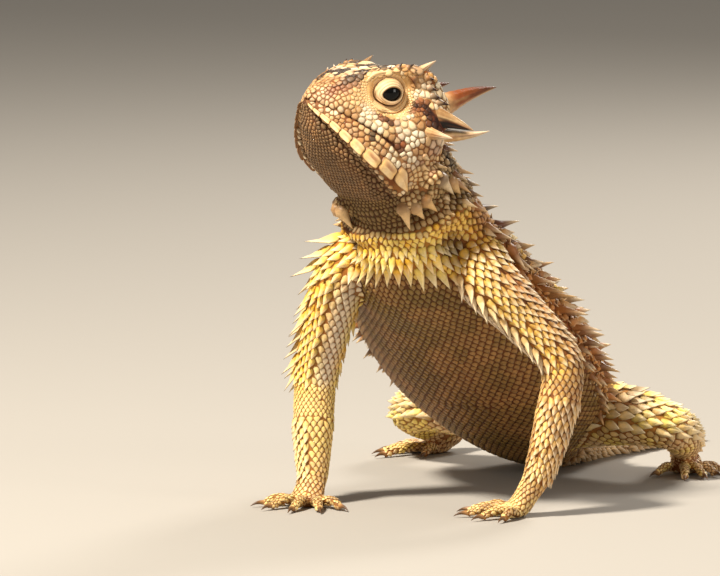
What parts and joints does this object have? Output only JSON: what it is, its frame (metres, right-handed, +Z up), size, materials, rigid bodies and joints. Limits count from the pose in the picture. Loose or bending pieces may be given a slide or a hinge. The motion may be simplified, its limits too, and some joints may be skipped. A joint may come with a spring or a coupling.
{
  "type": "horned lizard",
  "caption": "Life-size horned lizard that pushes its chest up on straight forelegs and looks up, with a crown of horns and rows of spines.",
  "frame": {"origin": "middle of the footprint's bounding box, on the floor", "axes": "+X the animal's left, +Y from its head to its tail, +Z up"},
  "size_m": [0.0602, 0.1064, 0.0657],
  "materials": {
    "skin_head": "dry granular scales, tan and cream with rust and dark brown marks",
    "skin_body": "dry keeled scales, olive tan with dark brown blotches and pale spines",
    "skin_limb": "dry pointed scales, yellow to tan with cream tips",
    "horn": "smooth horn, rust brown to ivory, satin",
    "eye": "wet and glossy, black"
  },
  "bodies": {
    "root": {"head": "skin_head", "jaw": "skin_head", "neck": "skin_body", "chest": "skin_body", "abdomen": "skin_body", "pelvis": "skin_body", "tail_base": "skin_body", "tail_tip": "skin_body", "upper_arm_left": "skin_limb", "upper_arm_right": "skin_limb", "forearm_left": "skin_limb", "forearm_right": "skin_limb", "hand_left": "skin_limb", "hand_right": "skin_limb", "thigh_left": "skin_limb", "thigh_right": "skin_limb", "shin_left": "skin_limb", "shin_right": "skin_limb", "foot_left": "skin_limb", "foot_right": "skin_limb", "occipital_horn_left": "horn", "occipital_horn_right": "horn", "temporal_horn_upper_left": "horn", "temporal_horn_upper_right": "horn", "temporal_horn_middle_left": "horn", "temporal_horn_middle_right": "horn", "temporal_horn_lower_left": "horn", "temporal_horn_lower_right": "horn", "brow_horn_left": "horn", "brow_horn_right": "horn", "eye_left": "eye", "eye_right": "eye"}
  },
  "joints": []
}
